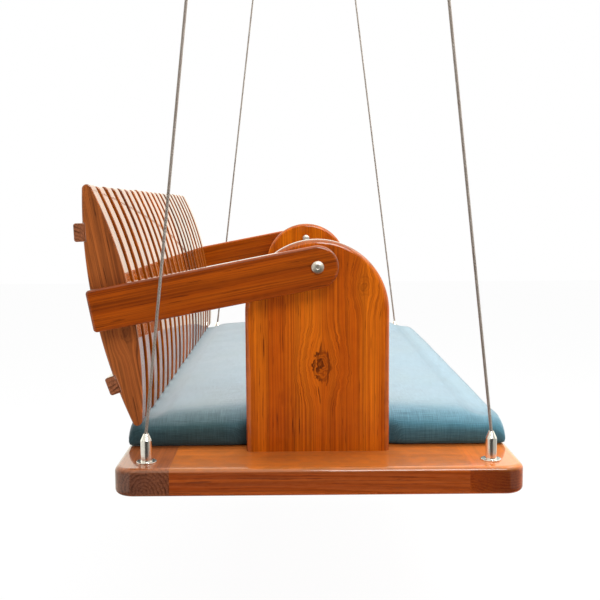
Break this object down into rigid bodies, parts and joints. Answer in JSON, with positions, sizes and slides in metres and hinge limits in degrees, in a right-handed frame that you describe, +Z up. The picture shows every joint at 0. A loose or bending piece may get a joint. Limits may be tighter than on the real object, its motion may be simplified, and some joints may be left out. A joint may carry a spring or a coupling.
{
  "type": "jhoola swing",
  "caption": "Teak hanging bench on wire ropes, with a slatted lens-section backrest that flips over the seat, round-topped side panels and a linen cushion.",
  "frame": {"origin": "in the ceiling plane, straight above the centre of the bench at rest", "axes": "+X to a sitter's left along the bench, +Y to the backrest as pictured, +Z up"},
  "size_m": [1.606, 0.7111, 1.178],
  "materials": {
    "teak_base": "lacquered",
    "teak_slats": "lacquered",
    "teak_arms": "lacquered",
    "linen": "plain weave",
    "polished_steel": "turned and polished",
    "plain_steel": "satin",
    "wire_rope": "stranded"
  },
  "bodies": {
    "ceiling": {"left_ceiling_bar": "plain_steel", "right_ceiling_bar": "plain_steel"},
    "rear_ropes": {"rear_left_rope": "wire_rope", "rear_right_rope": "wire_rope", "rear_rope_eyes": "plain_steel"},
    "seat": {"rear_long_rail": "teak_base", "front_long_rail": "teak_base", "left_end_rail": "teak_base", "right_end_rail": "teak_base", "deck_plank_1": "teak_base", "deck_plank_2": "teak_base", "deck_plank_3": "teak_base", "deck_plank_4": "teak_base", "cross_bearer_1": "teak_base", "cross_bearer_2": "teak_base", "cushion": "linen", "left_side_panel": "teak_base", "right_side_panel": "teak_base", "panel_tenons": "teak_base", "rope_ferrules": "polished_steel", "anchor_nuts": "plain_steel", "pivot_bolts": "polished_steel", "pivot_nuts": "polished_steel", "pivot_washers": "plain_steel"},
    "front_ropes": {"front_left_rope": "wire_rope", "front_right_rope": "wire_rope", "front_rope_eyes": "plain_steel"},
    "back": {"back_slat_01": "teak_slats", "back_slat_02": "teak_slats", "back_slat_03": "teak_slats", "back_slat_04": "teak_slats", "back_slat_05": "teak_slats", "back_slat_06": "teak_slats", "back_slat_07": "teak_slats", "back_slat_08": "teak_slats", "back_slat_09": "teak_slats", "back_slat_10": "teak_slats", "back_slat_11": "teak_slats", "back_slat_12": "teak_slats", "back_slat_13": "teak_slats", "back_slat_14": "teak_slats", "back_slat_15": "teak_slats", "back_slat_16": "teak_slats", "back_slat_17": "teak_slats", "back_slat_18": "teak_slats", "back_slat_19": "teak_slats", "back_slat_20": "teak_slats", "upper_back_rail": "teak_slats", "lower_back_rail": "teak_slats", "left_arm": "teak_arms", "right_arm": "teak_arms", "arm_tenons": "teak_base"}
  },
  "joints": [
    {"name": "swing", "type": "hinge", "parent": "ceiling", "child": "rear_ropes", "pos_m": [0, 0.145, -0.026], "axis": [1, 0, 0], "range_deg": [-15, 15]},
    {"name": "seat_level", "type": "hinge", "parent": "rear_ropes", "child": "seat", "pos_m": [0, 0.2725, -1.088], "axis": [1, 0, 0], "range_deg": [-8.2, 8.2]},
    {"name": "front_sway", "type": "hinge", "parent": "seat", "child": "front_ropes", "pos_m": [0, -0.2725, -1.088], "axis": [1, 0, 0], "range_deg": [-8.2, 8.2]},
    {"name": "back_flip", "type": "hinge", "parent": "seat", "child": "back", "pos_m": [0, 0, -0.82918], "axis": [1, 0, 0], "range_deg": [0, 201.6]}
  ],
  "couplings": [
    {"joint": "seat_level", "follows": "swing", "ratio": -0.5327},
    {"joint": "front_sway", "follows": "swing", "ratio": 0.5327}
  ]
}
